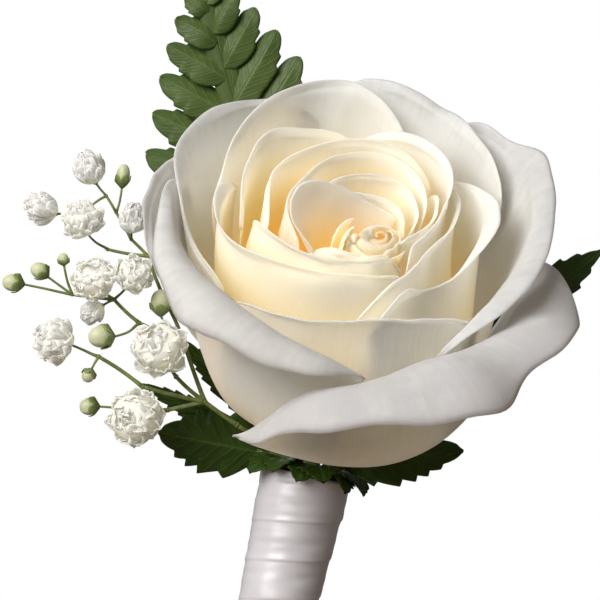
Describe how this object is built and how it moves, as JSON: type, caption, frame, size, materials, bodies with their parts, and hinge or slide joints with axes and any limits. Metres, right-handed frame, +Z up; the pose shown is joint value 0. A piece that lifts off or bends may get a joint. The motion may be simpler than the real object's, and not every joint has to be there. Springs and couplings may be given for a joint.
{
  "type": "flower lapel pin",
  "caption": "Boutonniere of a cream rose with fern, leaves and a spray of tiny white flowers, bound in satin ribbon and held to a lapel by a straight pin.",
  "frame": {"origin": "on the back of the wrapped stem, where it lies on the lapel", "axes": "+Z up along the lapel, +X to the right as the viewer sees it, +Y from the viewer into the lapel"},
  "size_m": [0.0899, 0.0632, 0.1179],
  "materials": {
    "petal_outer": "matt, soft",
    "petal_inner": "matt, soft",
    "rose_heart": "matt, soft",
    "rose_green": "matt",
    "stems": "matt",
    "ribbon": "satin",
    "pin_steel": "polished",
    "fern": "matt",
    "twig": "matt",
    "leaf": "satin",
    "small_flower": "matt",
    "small_bud": "matt"
  },
  "bodies": {
    "root": {"petal_front_roll": "petal_outer", "petal_left_outer": "petal_outer", "petal_back_right": "petal_outer", "petal_left_fold": "petal_outer", "petal_right_wide": "petal_outer", "petal_left_inner": "petal_outer", "petal_front_mid": "petal_outer", "petal_back_mid": "petal_outer", "petal_right_mid": "petal_inner", "petal_right_band": "petal_inner", "petal_left_mid": "petal_inner", "petal_back_inner_right": "petal_inner", "petal_back_inner_left": "petal_inner", "petal_left_third": "petal_inner", "petal_back_third": "petal_inner", "petal_right_fourth": "petal_inner", "petal_back_fourth": "petal_inner", "petal_back_fifth": "petal_inner", "petal_front_fourth": "petal_inner", "petal_back_sixth": "petal_inner", "rose_heart": "rose_heart", "rose_stem": "rose_green", "stem_core": "stems", "ribbon_wrap": "ribbon", "lapel_pin": "pin_steel", "fern": "fern", "baby_breath_twigs": "twig", "leaf_left": "leaf", "leaf_right": "leaf", "leaf_behind": "leaf", "leaf_narrow_low": "leaf", "leaf_narrow_high": "leaf", "flower_top": "small_flower", "flower_far_left": "small_flower", "flower_upper": "small_flower", "flower_by_rose": "small_flower", "flower_middle": "small_flower", "flower_middle_right": "small_flower", "flower_cup": "small_flower", "flower_open": "small_flower", "flower_low_left": "small_flower", "flower_bottom": "small_flower", "bud_top": "small_bud", "bud_far_left": "small_bud", "bud_left": "small_bud", "bud_small": "small_bud", "bud_white": "small_bud", "bud_green": "small_bud", "bud_low": "small_bud", "bud_by_rose": "small_bud"}
  },
  "joints": []
}
